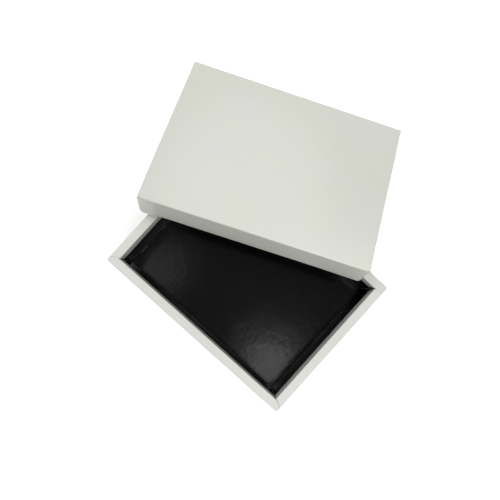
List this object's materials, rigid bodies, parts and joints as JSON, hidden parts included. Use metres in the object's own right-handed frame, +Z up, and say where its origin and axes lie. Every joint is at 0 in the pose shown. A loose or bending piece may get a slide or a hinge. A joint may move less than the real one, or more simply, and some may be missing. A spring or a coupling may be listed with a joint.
{
  "type": "sushi container",
  "caption": "Folded white card box with wide hollow rims and a black inner tray, with its loose lid taken off and leaning on one corner.",
  "frame": {"origin": "centre of the bottom board's underside, on the table", "axes": "+X along the base's long side, +Y along its short side towards the corner that the lid leans on, +Z up"},
  "size_m": [0.3057, 0.3081, 0.0817],
  "materials": {
    "white_board": "satin coated",
    "black_board": "glossy film laminated"
  },
  "bodies": {
    "base": {"bottom_board": "white_board", "front_side": "white_board", "right_side": "white_board", "back_side": "white_board", "left_side": "white_board", "inner_tray": "black_board"},
    "lid": {"lid": "white_board"}
  },
  "joints": [
    {"name": "lid_lift", "type": "slide", "parent": "base", "child": "lid", "axis": [0, 0, 1], "range_m": [0, 0.08]}
  ]
}
